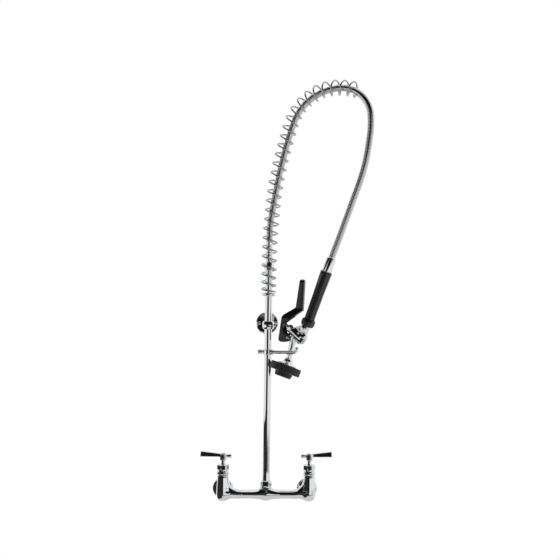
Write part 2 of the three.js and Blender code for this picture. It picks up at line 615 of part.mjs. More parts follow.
const base = groupAt(faucet, 0, -AXIS_TO_WALL, 0);
piece(base, "mixing_body", "chrome", mixingBody());
piece(base, "riser_coupling_nut", "chrome", riserNut());
inletFittings(faucet, -1, "left");
inletFittings(faucet, 1, "right");
valve(faucet, -1, "hot", "red");
valve(faucet, 1, "cold", "blue");
wallBracket(faucet);
riser(faucet);
fingerHook(faucet);

const loop = groupAt(faucet, 0, -AXIS_TO_WALL, 0, LOOP_ANGLE);
springAndHose(loop);
grip(loop);
sprayValve(loop);
valveSpring(loop);
sprayHead(loop);
squeezeLever(loop);

export default faucet;
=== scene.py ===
"""Pre rinse faucet: the look of every piece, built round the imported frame. Lengths are in millimetres until a
mesh is made, and the frame is the record's: +X right, +Y into the wall, +Z up."""

import json
import math

import bmesh
import bpy
import numpy as np
from mathutils import Matrix, Vector


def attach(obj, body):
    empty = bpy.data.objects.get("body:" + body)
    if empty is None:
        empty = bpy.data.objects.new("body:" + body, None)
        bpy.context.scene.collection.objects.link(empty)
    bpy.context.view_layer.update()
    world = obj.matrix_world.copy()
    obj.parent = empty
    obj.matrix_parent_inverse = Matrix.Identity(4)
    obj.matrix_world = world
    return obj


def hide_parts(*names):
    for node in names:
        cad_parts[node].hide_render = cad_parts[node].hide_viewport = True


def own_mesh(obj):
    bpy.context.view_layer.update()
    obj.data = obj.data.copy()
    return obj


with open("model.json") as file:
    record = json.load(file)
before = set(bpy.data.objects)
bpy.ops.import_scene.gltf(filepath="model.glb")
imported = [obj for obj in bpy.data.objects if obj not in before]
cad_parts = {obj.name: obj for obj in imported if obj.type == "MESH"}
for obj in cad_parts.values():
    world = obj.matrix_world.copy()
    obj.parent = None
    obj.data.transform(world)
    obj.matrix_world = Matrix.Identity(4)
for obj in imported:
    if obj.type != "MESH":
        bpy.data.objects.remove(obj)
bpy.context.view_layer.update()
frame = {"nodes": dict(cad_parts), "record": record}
NODES = frame["nodes"]
MM = 0.001

# ------------------------------------------------------------------ sizes shared with the frame

INLET_X = 101.6
AXIS_Y = -65.0
BRACKET_Z = 400.0
HOOK_Z = 337.0
HOOK_TURN = math.radians(-37.5)
LOOP_TURN = math.radians(-25)
SPRAY_TILT = math.radians(16)
NECK_TILT = math.radians(13.3)
GRIP_TILT = math.radians(20)
CHAMBER_TILT = math.radians(40)
SPRAY_CENTRE = (49.1, 308.2)
NECK_FOOT = (52.6, 320.4)
GRIP_TOP = (143.15, 528.2)
CHAMBER_CENTRE = (70.0, 382.0)
LEVER_PIVOT = (54.0, 373.0)
CHAMBER_FLOOR = -24
SIDE_CAP = (87.0, 395.0)
ELBOW = 161.3
GRIP_LENGTH = 117.3
GRIP_FOOT = 135.3
HEAD_LEAN = math.radians(13)
HEAD_HINGE = 13.6
HOSE_R = 7.7
SPRING_R = 16.65
WIRE_R = 2.0
COIL_PITCH = 21.6
HOSE_ROUTE = [
    (0, 598.6), (0, 615), (2, 640), (6.5, 668), (12, 698), (18.5, 732), (26, 766), (35, 802),
    (45, 836), (54.5, 864), (64, 886), (75.5, 903), (90, 917.5), (107, 929.5), (125, 938), (146, 944),
    (168, 946.5), (190, 944.1), (207.5, 937), (222.2, 925.7), (233.5, 911), (240.6, 893.9), (243, 875.5),
    (243, 854), (240.3, 827), (235.8, 797), (229, 765), (218, 730), (204.5, 693), (187.2, 646),
    (170.6, 601), (161.6, 578.2), (155.3, 561.3),
]
SPRING_ROUTE = [
    (0, 478.5), (0, 540), (1.5, 600), (5, 650), (9.5, 697), (15, 735), (22, 768), (31, 804),
    (41, 838), (50, 868), (58, 886), (68, 902), (81, 916), (97, 928.5), (114, 938), (132, 944),
    (152, 947.3), (172, 947), (192, 944.3), (209, 940),
]

# ------------------------------------------------------------------ places


def at(x, y, z, turn=0.0):
    return Matrix.Translation((x, y, z)) @ Matrix.Rotation(turn, 4, "Z")


RISER = at(0, AXIS_Y, 0)
LOOP = at(0, AXIS_Y, 0, LOOP_TURN)
TO_Y = Matrix.Rotation(-math.pi / 2, 4, "X")
TO_X = Matrix.Rotation(math.pi / 2, 4, "Y")
TO_MINUS_X = Matrix.Rotation(-math.pi / 2, 4, "Y")


def leaned(tilt, point):
    """The frame of a piece that leans in the loop plane, its foot at [u, z]."""
    return LOOP @ Matrix.Translation((point[0], 0, point[1])) @ Matrix.Rotation(tilt, 4, "Y")


GRIP = leaned(GRIP_TILT, GRIP_TOP)
HEAD = (leaned(SPRAY_TILT, SPRAY_CENTRE) @ Matrix.Translation((0, 0, HEAD_HINGE))
        @ Matrix.Rotation(-HEAD_LEAN, 4, "X") @ Matrix.Translation((0, 0, -HEAD_HINGE)))
CHAMBER = leaned(CHAMBER_TILT - math.pi / 2, CHAMBER_CENTRE)
NECK = leaned(NECK_TILT, NECK_FOOT)

# ------------------------------------------------------------------ camera


def make_camera():
    """At the photograph's angle: in front, a little to the left, and rolled a touch."""
    eye = np.array([-95.0, -2565.0, 585.0])
    aim = np.array([26.0, -65.0, 506.0])
    ahead = (aim - eye) / np.linalg.norm(aim - eye)
    right = np.cross(ahead, [0, 0, 1.0])
    right /= np.linalg.norm(right)
    up = np.cross(right, ahead)
    roll = math.radians(0.85)
    level = right * math.cos(roll) + up * math.sin(roll)
    upright = up * math.cos(roll) - right * math.sin(roll)
    data = bpy.data.cameras.new("camera")
    data.sensor_width = 36
    data.lens = 68.6
    data.clip_end = 50
    camera = bpy.data.objects.new("camera", data)
    bpy.context.scene.collection.objects.link(camera)
    turn = Matrix((level, upright, -ahead)).transposed().to_4x4()
    camera.matrix_world = Matrix.Translation(Vector(eye) * MM) @ turn
    bpy.context.scene.camera = camera


make_camera()

# ------------------------------------------------------------------ materials


class Nodes:
    """Short calls for building one node tree."""

    def __init__(self, tree):
        self.tree = tree
        tree.nodes.clear()

    def add(self, kind, **settings):
        node = self.tree.nodes.new(kind)
        for key, value in settings.items():
            setattr(node, key, value)
        return node

    def put(self, socket, value):
        if isinstance(value, bpy.types.NodeSocket):
            self.tree.links.new(value, socket)
        else:
            socket.default_value = value

    def math(self, operation, a, b):
        node = self.add("ShaderNodeMath", operation=operation)
        self.put(node.inputs[0], a)
        self.put(node.inputs[1], b)
        return node.outputs[0]

    def ramp(self, value, low, high, to_low=0.0, to_high=1.0):
        """value from low to high, eased, as a number from to_low to to_high."""
        node = self.add("ShaderNodeMapRange", interpolation_type="SMOOTHSTEP")
        for index, number in enumerate((value, low, high, to_low, to_high)):
            self.put(node.inputs[index], number)
        return node.outputs[0]

    def noise(self, scale):
        node = self.add("ShaderNodeTexNoise")
        self.put(node.inputs["Vector"], self.add("ShaderNodeTexCoord").outputs["Object"])
        node.inputs["Scale"].default_value = scale
        node.inputs["Detail"].default_value = 3.0
        return node.outputs["Fac"]

    def tint(self, factor, low, high):
        node = self.add("ShaderNodeMix", data_type="RGBA")
        self.put(node.inputs[0], factor)
        self.put(node.inputs[6], (*low, 1))
        self.put(node.inputs[7], (*high, 1))
        return node.outputs[2]


CLOUD = 40.0  # scale of the slow change in colour, in every material
NOISE_RANGE = (0.35, 0.65)  # where nearly all of the noise lies


def material(name, low, high, rough, metallic, grain, bump, depth=0.00005, **more):
    """Colour and roughness that vary a little, over a fine grain. more sets the shader's own sockets."""
    made = bpy.data.materials.new(name)
    made.use_nodes = True
    n = Nodes(made.node_tree)
    out = n.add("ShaderNodeOutputMaterial")
    shader = n.add("ShaderNodeBsdfPrincipled")
    n.tree.links.new(shader.outputs[0], out.inputs[0])
    patches = n.noise(CLOUD)
    fine = n.noise(grain)
    both = n.math("ADD", n.math("MULTIPLY", patches, 0.6), n.math("MULTIPLY", fine, 0.4))
    n.put(shader.inputs["Base Color"], n.tint(patches, low, high))
    n.put(shader.inputs["Roughness"], n.ramp(both, *NOISE_RANGE, *rough))
    shader.inputs["Metallic"].default_value = metallic
    node = n.add("ShaderNodeBump")
    node.inputs["Strength"].default_value = bump
    node.inputs["Distance"].default_value = depth
    n.put(node.inputs["Height"], fine)
    n.put(shader.inputs["Normal"], node.outputs[0])
    for key, value in more.items():
        shader.inputs[key.replace("_", " ")].default_value = value
    return made


# slot: name, darkest and lightest colour, roughness, metallic, scale and strength of the grain, its depth in m
MATERIALS = {
    "chrome_plate": material(
        "chrome", (0.83, 0.84, 0.855), (0.88, 0.885, 0.89), (0.03, 0.07), 1.0, 260, 0.015, 0.00002),
    # the spring's coil: the chrome again, made darker as painted shade in place of the shading the coil shows
    "spring_chrome_painted_shade": material(
        "spring_chrome_painted_shade", (0.44, 0.445, 0.45), (0.56, 0.565, 0.57), (0.08, 0.18), 1.0, 900, 0.05, 0.00002),
    "bare_brass": material(
        "brass", (0.62, 0.47, 0.22), (0.74, 0.6, 0.33), (0.22, 0.38), 1.0, 700, 0.2),
    "stainless": material(
        "stainless", (0.60, 0.60, 0.61), (0.70, 0.70, 0.71), (0.16, 0.3), 1.0, 900, 0.2),
    "hose_jacket": material(
        "hose_steel", (0.60, 0.605, 0.61), (0.69, 0.69, 0.695), (0.11, 0.18), 1.0, 1200, 0.05, 0.00002),
    "black_plastic": material(
        "black_plastic", (0.007, 0.007, 0.008), (0.012, 0.012, 0.013), (0.2, 0.3), 0.0, 900, 0.2, 0.00006,
        Specular_IOR_Level=0.5, Coat_Weight=0.4, Coat_Roughness=0.15),
    "bumper_rubber": material(
        "bumper_rubber", (0.026, 0.026, 0.028), (0.042, 0.042, 0.044), (0.55, 0.72), 0.0, 1100, 0.5, 0.00012),
    "seal_rubber": material(
        "seal_rubber", (0.012, 0.012, 0.012), (0.022, 0.022, 0.022), (0.5, 0.7), 0.0, 900, 0.4),
    "hot_red": material(
        "hot_red", (0.42, 0.015, 0.015), (0.55, 0.03, 0.03), (0.22, 0.34), 0.0, 700, 0.1),
    "cold_blue": material(
        "cold_blue", (0.01, 0.05, 0.32), (0.02, 0.08, 0.45), (0.22, 0.34), 0.0, 700, 0.1),
}

# ------------------------------------------------------------------ mesh building


CASTING = 60.0  # to_piece's sharp for the cast pieces, whose edges are all rounded


def to_object(name, bm):
    """A new object that takes a mesh over."""
    mesh = bpy.data.meshes.new(name)
    bm.to_mesh(mesh)
    bm.free()
    made = bpy.data.objects.new(name, mesh)
    bpy.context.scene.collection.objects.link(made)
    return made


def applied(holder):
    """The mesh that an object's modifiers make of it."""
    graph = bpy.context.evaluated_depsgraph_get()
    done = bpy.data.meshes.new_from_object(holder.evaluated_get(graph))
    bm = bmesh.new()
    bm.from_mesh(done)
    bpy.data.meshes.remove(done)
    return bm


def to_piece(name, bm, place, body, node, slot="chrome_plate", sharp=35.0, finish=None):
    """Put a mesh made in millimetres where it belongs, shade it and tie it to the frame for its CAD node.
    Edges sharper than sharp degrees show. finish is a material of its own in place of the slot's; the spring's
    is a darker copy of the chrome, with painted shade in its colour."""
    bm.transform(Matrix.Scale(MM, 4) @ place)
    bmesh.ops.recalc_face_normals(bm, faces=bm.faces)
    limit = math.radians(sharp)
    for face in bm.faces:
        face.smooth = True
    for edge in bm.edges:
        edge.smooth = len(edge.link_faces) == 2 and edge.calc_face_angle(0.0) < limit
    made = to_object(name, bm)
    made.data.materials.append(MATERIALS[finish or slot])
    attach(made, body)
    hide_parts(node)
    return made


def fillet(points, radius, steps=4, closed=False):
    """Round the corners of a [a, b] polyline. A point may carry its own radius as a third number."""
    most = 0.45  # of a side that one corner may take up, so that two corners never meet
    straight = 0.999
    count = len(points)
    result = []
    for i, point in enumerate(points):
        own = point[2] if len(point) > 2 else radius
        here = np.array(point[:2], float)
        if own <= 0 or (not closed and i in (0, count - 1)):
            result.append(tuple(here))
            continue
        before = np.array(points[i - 1][:2], float) - here
        after = np.array(points[(i + 1) % count][:2], float) - here
        lb, la = np.linalg.norm(before), np.linalg.norm(after)
        if lb < 1e-6 or la < 1e-6:
            result.append(tuple(here))
            continue
        before, after = before / lb, after / la
        cosine = float(np.clip(before @ after, -1, 1))
        if abs(cosine) > straight:
            result.append(tuple(here))
            continue
        half = math.acos(cosine) / 2
        reach = min(own / math.tan(half), most * lb, most * la)
        bend = reach * math.tan(half)
        centre = here + (before + after) / np.linalg.norm(before + after) * (bend / math.sin(half))
        start, end = here + before * reach - centre, here + after * reach - centre
        turn = math.atan2(start[0] * end[1] - start[1] * end[0], start @ end)
        for k in range(steps + 1):
            a = turn * k / steps
            c, s = math.cos(a), math.sin(a)
            result.append((centre[0] + c * start[0] - s * start[1], centre[1] + s * start[0] + c * start[1]))
    return result


def lathe(profile, sides=64, radius=0.4, limit=None, ripple=None, steps=4, angles=None):
    """Turn [r, z] points round Z. The profile closes on the axis, or on itself if it stays off the axis.
    limit(angle) caps the radius, as on a nut; ripple(angle, r, z) changes it."""
    ring_form = profile[0][0] > 0
    points = fillet(profile, radius, steps, closed=ring_form)
    angles = angles or [2 * math.pi * k / sides for k in range(sides)]
    sides = len(angles)
    bm = bmesh.new()
    rows = []
    for r, z in points:
        if r < 1e-6:
            rows.append([bm.verts.new((0, 0, z))])
            continue
        row = []
        for a in angles:
            own = min(r, limit(a)) if limit else r
            if ripple:
                own = ripple(a, own, z)
            row.append(bm.verts.new((own * math.cos(a), own * math.sin(a), z)))
        rows.append(row)
    pairs = list(zip(rows, rows[1:])) + ([(rows[-1], rows[0])] if ring_form else [])
    for low, high in pairs:
        for k in range(sides):
            m = (k + 1) % sides
            corners = [low[k % len(low)], low[m % len(low)], high[m % len(high)], high[k % len(high)]]
            unique = list(dict.fromkeys(corners))
            if len(unique) > 2:
                bm.faces.new(unique)
    bmesh.ops.remove_doubles(bm, verts=bm.verts, dist=1e-4)
    bmesh.ops.dissolve_degenerate(bm, edges=bm.edges, dist=1e-5)
    return bm


def flats(across, count, start):
    """How far out a nut's flats let a turned piece reach at each angle. start is the angle of a corner."""
    step = 2 * math.pi / count
    corner = across / 2 / math.cos(step / 2) - 0.12  # the corners are a little blunt

    def reach(a):
        off = (a - start) % step
        off = min(off, step - off)
        return min(across / 2 / math.cos(step / 2 - off), corner)
    return reach


def flat_angles(count, start):
    """Angles that put narrow soft corners on a nut and leave its flats flat."""
    step = 360 / count
    offsets = (-1.4, 0, 1.4, 3.5, step * 0.25, step * 0.5, step * 0.75, step - 3.5)
    return [start + math.radians(k * step + off) for k in range(count) for off in offsets]


def nut(across, count, low, high, bore, start=0.0, top=()):
    """A nut with bevelled corners: a turned shape, cut back to its flats. top adds [r, z] points."""
    corner = across / 2 / math.cos(math.pi / count)
    inner = across / 2 - 0.3  # where the bevel starts, just inside the flats
    slope = (corner - inner) * 0.6  # how far the bevel comes down at the corners
    rise = [(inner + (corner - inner) * t, slope * t) for t in (0, 0.2, 0.4, 0.6, 0.8, 1.0)]
    profile = [(bore, low), *((r, low + z) for r, z in rise), *((r, high - z) for r, z in reversed(rise)), *top]
    profile.append((bore, profile[-1][1]))
    return lathe(profile, radius=0.0, limit=flats(across, count, start), angles=flat_angles(count, start))


def turned(name, node, body, place, profile, sides=48, radius=0.3, slot="chrome_plate", sharp=35.0, **how):
    """A turned piece in place of its CAD node."""
    to_piece(name, lathe(profile, sides, radius, **how), place, body, node, slot, sharp)


def sweep(points, radius, sides):
    """A round bar along a list of points; radius may be one number or one for each point."""
    pts = [Vector(p) for p in points]
    count = len(pts)
    radii = [radius] * count if np.isscalar(radius) else radius
    tangents = [(pts[min(i + 1, count - 1)] - pts[max(i - 1, 0)]).normalized() for i in range(count)]
    side = tangents[0].orthogonal().normalized()
    bm = bmesh.new()
    rows = []
    for i in range(count):
        if i:
            side = (tangents[i - 1].rotation_difference(tangents[i]) @ side).normalized()
        other = tangents[i].cross(side)
        rows.append([
            bm.verts.new(pts[i] + (side * math.cos(a) + other * math.sin(a)) * radii[i])
            for a in (2 * math.pi * k / sides for k in range(sides))
        ])
    for low, high in zip(rows, rows[1:]):
        for k in range(sides):
            bm.faces.new((low[k], low[(k + 1) % sides], high[(k + 1) % sides], high[k]))
    bm.faces.new(rows[0])
    bm.faces.new(rows[-1])
    return bm


def merged(*parts):
    """Several meshes as one."""
    bm = bmesh.new()
    for part in parts:
        mesh = bpy.data.meshes.new("part")
        part.to_mesh(mesh)
        part.free()
        bm.from_mesh(mesh)
        bpy.data.meshes.remove(mesh)
    return bm


def moved(bm, place):
    bm.transform(place)
    return bm


def path_lengths(points):
    """How far along a path each of its points is."""
    return np.concatenate([[0], np.cumsum(np.linalg.norm(np.diff(points, axis=0), axis=1))])


def on_path(points, lengths, wanted):
    """The places on a path at the wanted lengths."""
    return np.stack([np.interp(wanted, lengths, points[:, k]) for k in range(3)], axis=1)


def smooth_curve(points, step):
    """A centripetal Catmull-Rom curve through points, resampled every step."""
    steps = 16  # between one point and the next, before it is resampled
    p = [np.array(q, float) for q in points]
    p = [2 * p[0] - p[1], *p, 2 * p[-1] - p[-2]]
    fine = []
    for a, b, c, d in zip(p, p[1:], p[2:], p[3:]):
        t0 = 0.0
        t1 = t0 + np.linalg.norm(b - a) ** 0.5
        t2 = t1 + np.linalg.norm(c - b) ** 0.5
        t3 = t2 + np.linalg.norm(d - c) ** 0.5
        for t in np.linspace(t1, t2, steps, endpoint=False):
            a1 = (t1 - t) / (t1 - t0) * a + (t - t0) / (t1 - t0) * b
            a2 = (t2 - t) / (t2 - t1) * b + (t - t1) / (t2 - t1) * c
            a3 = (t3 - t) / (t3 - t2) * c + (t - t2) / (t3 - t2) * d
            b1 = (t2 - t) / (t2 - t0) * a1 + (t - t0) / (t2 - t0) * a2
            b2 = (t3 - t) / (t3 - t1) * a2 + (t - t1) / (t3 - t1) * a3
            fine.append((t2 - t) / (t2 - t1) * b1 + (t - t1) / (t2 - t1) * b2)
    fine = np.array([*fine, p[-2]])
    lengths = path_lengths(fine)
    count = int(round(lengths[-1] / step)) + 1
    return on_path(fine, lengths, np.linspace(0, lengths[-1], count))


# ------------------------------------------------------------------ cast shapes, blended where they meet


def outline_distance(x, y, outline):
    """Signed distance from points to a closed outline, negative inside."""
    outline = np.array(outline, float)
    best = np.full(x.shape, 1e18)
    inside = np.zeros(x.shape, bool)
    for (ax, ay), (bx, by) in zip(outline, np.roll(outline, -1, axis=0)):
        ex, ey = bx - ax, by - ay
        wx, wy = x - ax, y - ay
        t = np.clip((wx * ex + wy * ey) / max(ex * ex + ey * ey, 1e-12), 0, 1)
        best = np.minimum(best, (wx - ex * t) ** 2 + (wy - ey * t) ** 2)
        crosses = (ay > y) != (by > y)
        with np.errstate(divide="ignore", invalid="ignore"):
            inside ^= crosses & (x < ex * (y - ay) / (ey if ey else 1e-12) + ax)
    return np.where(inside, -1, 1) * np.sqrt(best)


def local(points, place):
    """Points of the frame as a place sees them."""
    inverse = np.array(place.inverted(), float)
    return points @ inverse[:3, :3].T + inverse[:3, 3]


def turned_field(place, profile, radius):
    """A turned solid: profile is [r, z] from the axis back to the axis."""
    rounded = fillet(profile, radius, 5)
    mirrored = rounded + [(-r, z) for r, z in reversed(rounded) if r > 1e-9]

    def field(p):
        q = local(p, place)
        return outline_distance(np.hypot(q[:, 0], q[:, 1]), q[:, 2], mirrored)
    return field


def bar_field(place, points, radii):
    """A round bar along points, with a radius for each."""
    path = np.array(points, float)

    def field(p):
        q = local(p, place)
        best = np.full(len(q), 1e9)
        for a, b, ra, rb in zip(path, path[1:], radii, radii[1:]):
            e = b - a
            t = np.clip(((q - a) @ e) / (e @ e), 0, 1)
            best = np.minimum(best, np.linalg.norm(q - a - t[:, None] * e, axis=1) - (ra + (rb - ra) * t))
        return best
    return field


def plate_field(place, outline, half, edge):
    """An outline in x and z, thick along y, with rounded edges."""
    def field(p):
        q = local(p, place)
        flat = outline_distance(q[:, 0], q[:, 2], outline) + edge
        across = np.abs(q[:, 1]) - half + edge
        outside = np.hypot(np.maximum(flat, 0), np.maximum(across, 0))
        return outside + np.minimum(np.maximum(flat, across), 0) - edge
    return field


def join(a, b, k):
    """Two solids as one, with a fillet of about k where they meet."""
    h = np.clip(0.5 + 0.5 * (b - a) / k, 0, 1)
    return b * (1 - h) + a * h - k * h * (1 - h)


def meet(a, b, k):
    """The part that two solids share, its edges rounded."""
    return -join(-a, -b, k)


# Each part is a seed mesh, its distance field, and the size k of its fillet with the parts before it.


def turned_part(place, profile, radius=0.6, k=3.0):
    return moved(lathe(profile, 32, radius), place), turned_field(place, profile, radius), k


def bar_part(place, points, radii, k):
    return moved(sweep(points, radii, 20), place), bar_field(place, points, radii), k


def plate_part(place, outline, half, edge, k=3.0):
    bm = bmesh.new()
    face = bm.faces.new([bm.verts.new((x, -half, z)) for x, z in outline])
    grown = bmesh.ops.extrude_face_region(bm, geom=[face])["geom"]
    far_side = [v for v in grown if isinstance(v, bmesh.types.BMVert)]
    bmesh.ops.translate(bm, vec=(0, 2 * half, 0), verts=far_side)
    bmesh.ops.recalc_face_normals(bm, faces=bm.faces)
    return moved(bm, place), plate_field(place, outline, half, edge), k


def cast_parts(parts, voxel):
    """Cast several parts together, each blended into the ones before it by its own k."""
    def field(p):
        value = parts[0][1](p)
        for _, part, k in parts[1:]:
            value = join(value, part(p), k)
        return value
    return cast([seed for seed, _, _ in parts], field, voxel)


def cast(seeds, field, voxel):
    """One skin round the seed meshes, drawn onto the field's surface and evened out."""
    small = 0.02  # the step that the field's slope is taken over
    least_slope = 0.25
    holder = to_object("seed", merged(*seeds))
    remesh = holder.modifiers.new("remesh", "REMESH")
    remesh.mode = "VOXEL"
    remesh.voxel_size = voxel
    remesh.use_smooth_shade = True
    bm = applied(holder)
    bpy.data.objects.remove(holder)
    bm.verts.ensure_lookup_table()
    points = np.array([v.co for v in bm.verts], float)
    pairs = np.array([[e.verts[0].index, e.verts[1].index] for e in bm.edges])
    counts = np.bincount(pairs.ravel(), minlength=len(points))[:, None]

    def draw(p, rounds):
        """Move points along the field's slope until it is zero where they are."""
        for _ in range(rounds):
            value = field(p)
            slope = np.stack([(field(p + d) - field(p - d)) / (2 * small) for d in np.eye(3) * small], axis=1)
            size = np.maximum((slope ** 2).sum(axis=1), least_slope)
            p = p - np.clip(value / size, -2 * voxel, 2 * voxel)[:, None] * slope
        return p

    points = draw(points, 3)
    for _ in range(3):
        total = np.zeros_like(points)
        np.add.at(total, pairs[:, 0], points[pairs[:, 1]])
        np.add.at(total, pairs[:, 1], points[pairs[:, 0]])
        points = draw((points + total / counts) / 2, 1)
    points = draw(points, 2)
    for vertex, point in zip(bm.verts, points):
        vertex.co = point
    return bm


# ------------------------------------------------------------------ hose, built before the rest


def build_hose():
    """Steel hose of interlocked bands: a slightly crowned band, then a narrow groove, all the way along."""
    band = 3.2
    rings = ((0.3, -0.07), (1.6, -0.04), (2.9, -0.07), (band, -0.16))  # along a band, and how far under HOSE_R
    fine = smooth_curve([(u, 0, z) for u, z in HOSE_ROUTE], 0.4)
    lengths = path_lengths(fine)
    total = lengths[-1]
    stations, radii = [0.0], [HOSE_R - 0.5]
    for k in range(int(total // band)):
        for offset, under in rings:
            stations.append(k * band + offset)
            radii.append(HOSE_R + under)
    stations[-1] = total
    bm = sweep(on_path(fine, lengths, stations), radii, 28)
    hose = to_piece("hose_flexible", bm, LOOP, "swivel_riser", "flex_hose", "hose_jacket")


build_hose()

# ------------------------------------------------------------------ mixing base


def arc(centre, radius, start, end, steps):
    """Points on an arc, its angles in degrees."""
    return [(centre[0] + radius * math.cos(math.radians(start + (end - start) * i / steps)),
             centre[1] + radius * math.sin(math.radians(start + (end - start) * i / steps)))
            for i in range(steps + 1)]


def bend_part(upright_x, side, bend, radius):
    """A quarter bend between an upright and the crossbar, thinning out inside each."""
    points = [(upright_x + side * (bend + x), 0, bend + z) for x, z in arc((0, 0), bend, 192, 270, 9)]
    radii = [radius - 1.2, radius - 0.4] + [radius] * 5 + [radius - 0.2, radius - 0.6, radius - 1.4]
    points += [(points[-1][0] + side * 10, 0, -0.5), (points[-1][0] + side * 22, 0, -1)]
    return bar_part(RISER, points, radii + [5.5, 2.0], 4.5)


def build_mixing_body():
    def bulge(distance, width):
        return math.exp(-((distance / width) ** 2))

    xs = np.linspace(-INLET_X, INLET_X, 61)
    crossbar = [(10.3 + 3.4 * bulge(x, 15) + 3.6 * bulge(INLET_X - abs(x), 14), x) for x in xs]
    parts = [turned_part(RISER @ TO_X, [(0, -INLET_X), *crossbar, (0, INLET_X)], 0)]
    for side in (-1, 1):
        column = at(side * INLET_X, AXIS_Y, 0)
        parts.append(turned_part(column, [
            (0, -16), (7.5, -15, 6), (12, -12, 6), (14.6, -7, 8), (15.2, 0, 12), (14.8, 12, 20), (14, 28, 30),
            (13.3, 40, 20), (13.3, 45.8, 0.5), (0, 45.8),
        ], 2, 5.0))
        parts.append(turned_part(column @ TO_Y, [
            (0, 0), (12, 0), (12, 18, 3), (12.9, 20, 2), (12.9, 28.9, 0.5), (0, 28.9),
        ], 1, 5.0))
        parts.append(bend_part(side * (INLET_X - 3.4), -side, 37, 9.6))
        parts.append(bend_part(0, side, 24, 10.4))
    parts.append(turned_part(RISER, [
        (0, -14), (6, -13.6, 5), (10, -11, 5), (12, 0, 10), (11.6, 10, 4), (9.8, 12.3, 0.5), (9.8, 24),
        (0, 24),
    ], 0.5, 4.5))
    casting = cast_parts(parts, 1.15)
    to_piece("base_casting", casting, Matrix(), "faucet_base", "mixing_body", sharp=CASTING)


def build_base_fittings():
    def hexagon(a, r, z):
        """Six flats on the upper half, over a round skirt that carries the curve of the casting on."""
        bore, skirt_top, half_across, corner_angle = 11, 20.5, 12.1, 0.4
        if r < bore or z <= skirt_top:
            return r
        return min(r, half_across / math.cos((a - corner_angle + math.pi / 6) % (math.pi / 3) - math.pi / 6))

    turned("riser_nut", "riser_coupling_nut", "faucet_base", RISER, [
        (10.35, 12.8), (13.9, 12.8), (13.2, 15.4, 4), (12.4, 19.8, 3), (13.6, 21, 0.6), (13.6, 25, 1),
        (12.6, 28.5, 4), (11.6, 31.6, 2), (10.2, 33, 0.6), (8.95, 33), (8.95, 27.6), (10.35, 27.6),
    ], 96, ripple=hexagon)
    thread = []
    for k in range(10):
        thread += [(9.5, 64.2 - k * 1.8), (8.7, 63.3 - k * 1.8)]
    for side, label in ((-1, "left"), (1, "right")):
        inlet = at(side * INLET_X, AXIS_Y, 0) @ TO_Y
        turned(f"{label}_shank", f"{label}_inlet_shank", "faucet_base", inlet, [
            (7.2, 31.6), (12.8, 31.6), (12.8, 34.6), (10.5, 34.6), (10.5, 40), (12.4, 42), (12.4, 65),
            (10, 65), *thread, (7.2, 45),
        ], 64, 0.25, sharp=30, steps=2)
        union = nut(30.5, 6, 20.4, 38.5, 13.3, math.radians(30))
        to_piece(f"{label}_union", union, inlet, "faucet_base", f"{label}_union_nut")
        turned(f"{label}_escutcheon", f"{label}_wall_flange", "faucet_base", inlet, [
            (12.8, 59), (13.8, 57.6, 0.6), (16, 57.5, 2), (21, 59.3, 5), (24.2, 62, 3), (25, 65, 0.3),
            (23.4, 65), (21, 62.6), (14.4, 60.6), (12.8, 61.4),
        ], 96, 0.5)


build_mixing_body()
build_base_fittings()

# ------------------------------------------------------------------ hot and cold valves


def lever_part(place):
    """The lever's blade, which widens towards its tip and is narrower along its top than its bottom."""
    outline = [(2, 88.4), (53, 88.8), (54, 90.2), (53.2, 100.6), (51.6, 101.6), (30, 99), (14, 96.8), (2, 95.4)]
    half_widths = ([0, 10, 24, 40, 54], [4.2, 4.3, 4.7, 5.2, 5.5])

    def blade(p):
        q = local(p, place)
        flat = outline_distance(q[:, 0], q[:, 2], outline)
        half = np.interp(q[:, 0], *half_widths) - 0.09 * np.maximum(q[:, 2] - 89, 0)
        return meet(flat, np.abs(q[:, 1]) - half, 1.2)

    seed = plate_part(place, [(2, 88.4), (53, 88.8), (53.2, 100.6), (51.6, 101.6), (2, 95.4)], 5, 1)[0]
    return seed, blade, 1.6


def build_valve(side, label, slot):
    place = at(side * INLET_X, AXIS_Y, 0, math.pi if side < 0 else 0.0)
    body = f"{label}_handle"
    turned(f"{label}_bonnet_cap", f"{label}_bonnet", "faucet_base", place, [
        (7, 34), (9.2, 34), (9.2, 46.3), (12.6, 46.3, 0.3), (14.2, 48.4, 2.4), (14.2, 53.6, 2.6),
        (12.4, 56.4, 1.6), (10.6, 56.6, 0.5), (10.6, 58.6), (7, 58.6),
    ], 72)
    packing = nut(27.7, 8, 58.9, 70, 5.6, math.radians(22.5), top=[(9.6, 70.0), (8.6, 70.5), (6.4, 70.9)])
    to_piece(f"{label}_packing_nut", packing, place, "faucet_base", f"{label}_lock_nut")
    turned(f"{label}_spindle", f"{label}_stem", body, place, [
        (0, 67), (5.1, 67), (5.1, 72.2, 0.8), (4.4, 73.4, 1), (4.3, 77.6, 1), (5.1, 79, 0.8), (5.1, 80.4),
        (0, 80.4),
    ], radius=0.2)
    handle = cast_parts([
        turned_part(place, [
            (0, 80.6), (7.2, 80.6, 0.6), (8, 82.2, 1), (8, 94, 1), (7, 95.6, 0.8), (0, 95.6),
        ]),
        lever_part(place),
        turned_part(place @ Matrix.Translation((0, 0, 90.4)) @ TO_MINUS_X, [
            (0, 4), (3.6, 4), (3.9, 9, 6), (5.3, 16.5, 1.2), (5.1, 18.6, 0.8), (4.4, 19.5, 0.6), (0, 19.6),
        ], k=1.6),
    ], 0.62)
    to_piece(f"{label}_lever_handle", handle, Matrix(), body, f"{label}_lever", sharp=CASTING)
    # a domed disc with a raised rim, and a plain round dot in place of a letter
    turned(f"{label}_index_cap_disc", f"{label}_index_cap", body, place, [
        (0, 93.6), (5.1, 93.6), (5.1, 95.6), (4.6, 96), (4.1, 95.7), (3.9, 95.8, 0.2), (2, 96.4, 3), (0, 96.6),
    ], radius=0.15, slot=slot, sharp=40)


